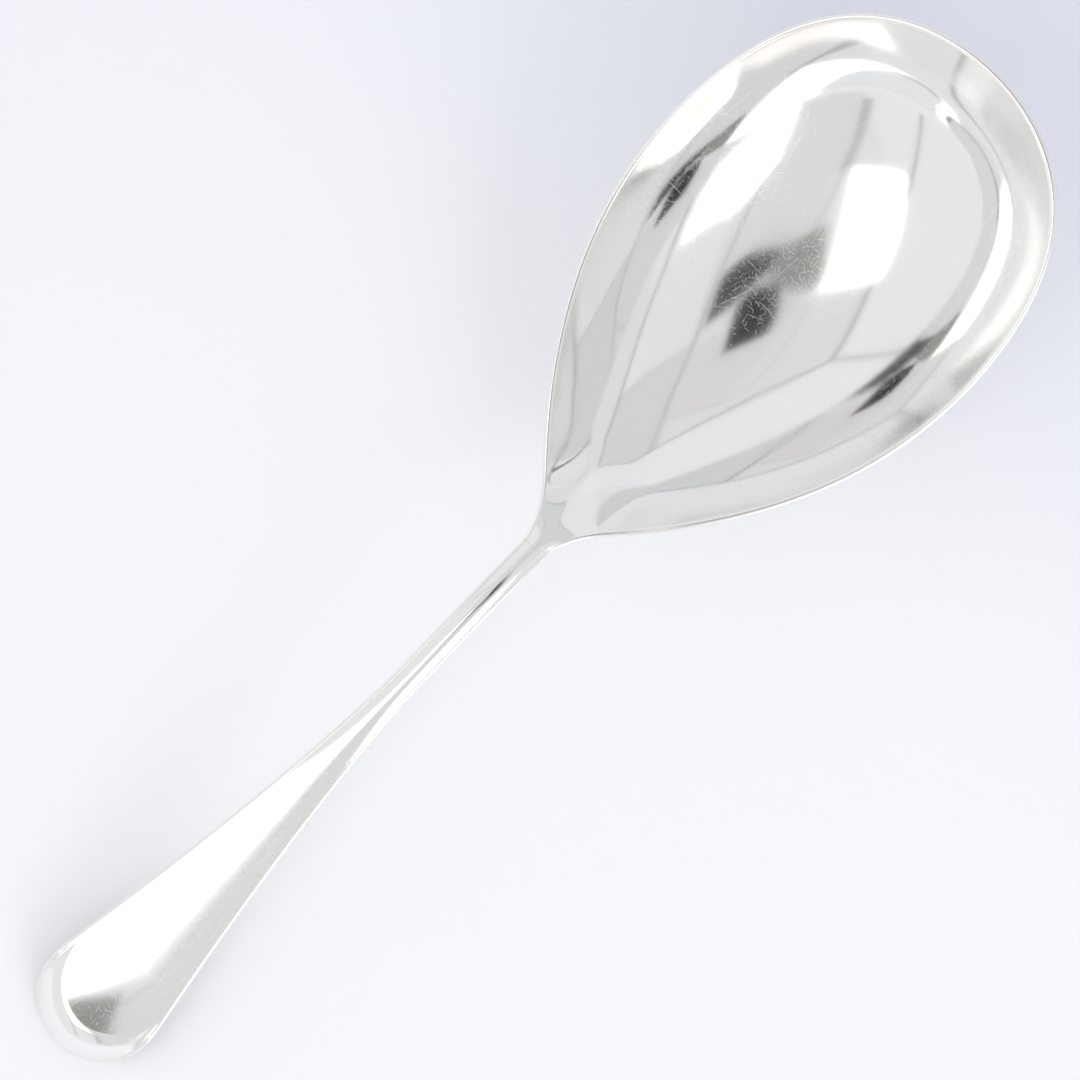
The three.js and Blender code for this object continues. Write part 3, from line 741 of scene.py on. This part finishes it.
def makeTent():
    # every panel, lamp, opening and seam in one mesh, seen only in reflections
    points, triangles, colours = [], [], []

    def hang(corners, distance, colour):
        # a convex panel as a fan of triangles round its first corner
        first = sum(len(p) for p in points)
        points.append(corners * distance)
        for k in range(1, len(corners) - 1):
            triangles.append((first, first + k, first + k + 1))
            colours.append((*colour, 1.0))

    for colour, corners in tentPanels:
        hang(skyDirection(corners), tent["panelDistance"], colour)
    for colour, corners in tentLamps:
        hang(skyDirection(corners), tent["lampDistance"], colour)
    for colour, corners in tentOpenings:
        hang(skyDirection(corners), tent["openingDistance"], colour)
    for width, shade, line in tentSeams:
        one, other = seamCorners(line, width)
        for k in range(len(line) - 1):
            corners = np.stack([one[k], one[k + 1], other[k + 1], other[k]])
            hang(corners, tent["seamDistance"], [shade * share for share in tent["seamTint"]])
    mesh = bpy.data.meshes.new("tent")
    mesh.from_pydata(np.concatenate(points).tolist(), [], triangles)
    glow = mesh.attributes.new("glow", "FLOAT_COLOR", "FACE")
    glow.data.foreach_set("color", np.array(colours, np.float32).ravel())
    material = bpy.data.materials.new("tentCloth")
    material.use_nodes = True
    tree = material.node_tree
    tree.nodes.clear()
    colour = addNode(tree, "ShaderNodeAttribute", attribute_name="glow").outputs["Color"]
    light = addNode(tree, "ShaderNodeEmission", {"Color": colour})
    tree.links.new(light.outputs[0], addNode(tree, "ShaderNodeOutputMaterial").inputs[0])
    mesh.materials.append(material)
    cloth = bpy.data.objects.new("tent", mesh)
    bpy.context.scene.collection.objects.link(cloth)
    cloth.visible_camera = False
    print("tent hung:", len(triangles), "faces")


def makeSky():
    # walls that change tone from left to right, and the roof inside all the planes through its sides and the
    # table's middle
    world = bpy.data.worlds.new("lightTent")
    bpy.context.scene.world = world
    world.use_nodes = True
    tree = world.node_tree
    tree.nodes.clear()
    direction = addNode(tree, "ShaderNodeTexCoord").outputs["Generated"]

    def alongVector(vector):
        # the direction looked in times the vector, summed
        node = addNode(tree, "ShaderNodeVectorMath", {0: direction, 1: tuple(vector)}, operation="DOT_PRODUCT")
        return node.outputs["Value"]

    turn = math.radians(view["turn"])
    right = alongVector((math.cos(turn), -math.sin(turn), 0))
    side = step(tree, right, tent["leftFrom"], tent["rightFrom"])
    colour = blendColours(tree, side, tent["wallLeft"], tent["wallRight"])
    sides = skyDirection(roofCorners)
    normals = unit(np.cross(sides, np.roll(sides, -1, 0)))
    normals *= np.sign(normals @ sides.sum(0))[:, None]
    inside = alongVector(normals[0])
    for normal in normals[1:]:
        inside = maths(tree, "MINIMUM", inside, alongVector(normal))
    share = step(tree, inside, -tent["softness"] / 2, tent["softness"] / 2)
    colour = blendColours(tree, share, colour, tent["roof"])
    plainView = addNode(tree, "ShaderNodeLightPath").outputs["Is Camera Ray"]
    colour = blendColours(tree, plainView, colour, tent["backdrop"])
    background = addNode(tree, "ShaderNodeBackground", {"Color": colour})
    tree.links.new(background.outputs[0], addNode(tree, "ShaderNodeOutputWorld").inputs[0])


table = {
    "radius": 6.0, "sides": 96, "colour": (0.838, 0.842, 0.860), "paintedShade": (0.66, 0.68, 0.76),
    "cornerFrom": 0.03, "cornerTo": 0.24, "topFrom": -0.05, "topTo": 0.16, "topShare": 0.3,
    "roughness": 0.9, "glow": 0.22, "closeReach": 0.010, "closePower": 0.9, "closeSamples": 8,
}


def makeTable():
    # pale paper with painted shade, darker towards the picture's top and its top right corner; it also glows
    # with painted light, which is dimmed as painted contact shade where something stands close over it
    turn = np.linspace(0, 2 * np.pi, table["sides"], endpoint=False)
    points = np.stack([np.cos(turn), np.sin(turn), 0 * turn], -1) * table["radius"]
    mesh = bpy.data.meshes.new("table")
    mesh.from_pydata(points.tolist(), [], [list(range(table["sides"]))])
    top = bpy.data.objects.new("table", mesh)
    bpy.context.scene.collection.objects.link(top)
    material = bpy.data.materials.new("paleTable")
    material.use_nodes = True
    tree = material.node_tree
    shader = tree.nodes["Principled BSDF"]
    place = addNode(tree, "ShaderNodeTexCoord").outputs["Object"]
    angle = math.radians(view["turn"])

    def towards(x, y):
        # how far a place lies x to the right and y up in the picture
        axis = (x * math.cos(angle) + y * math.sin(angle), y * math.cos(angle) - x * math.sin(angle), 0)
        node = addNode(tree, "ShaderNodeVectorMath", {0: place, 1: axis}, operation="DOT_PRODUCT")
        return node.outputs["Value"]

    # painted shade: the table's colour darkens towards the picture's top and its top right corner
    up = step(tree, towards(0, 1), table["topFrom"], table["topTo"])
    corner = step(tree, towards(1, 1), table["cornerFrom"], table["cornerTo"])
    shade = maths(tree, "ADD", maths(tree, "MULTIPLY", up, table["topShare"]),
                  maths(tree, "MULTIPLY", corner, 1 - table["topShare"]))
    colour = blendColours(tree, shade, table["colour"], table["paintedShade"])
    tree.links.new(colour, shader.inputs["Base Color"])
    # painted light: the table glows in its own colour, which brightens it and softens its shadows
    tree.links.new(colour, shader.inputs["Emission Color"])
    # painted contact shade: the glow is dimmed where the spoon stands close over the table
    above = addNode(
        tree, "ShaderNodeAmbientOcclusion", {"Distance": table["closeReach"]}, samples=table["closeSamples"])
    clear = maths(tree, "POWER", above.outputs["AO"], table["closePower"])
    glow = maths(tree, "MULTIPLY", clear, table["glow"])
    tree.links.new(glow, shader.inputs["Emission Strength"])
    shader.inputs["Roughness"].default_value = table["roughness"]
    mesh.materials.append(material)


makeSky()
makeTent()
makeTable()
bpy.context.scene.view_settings.view_transform = "Standard"
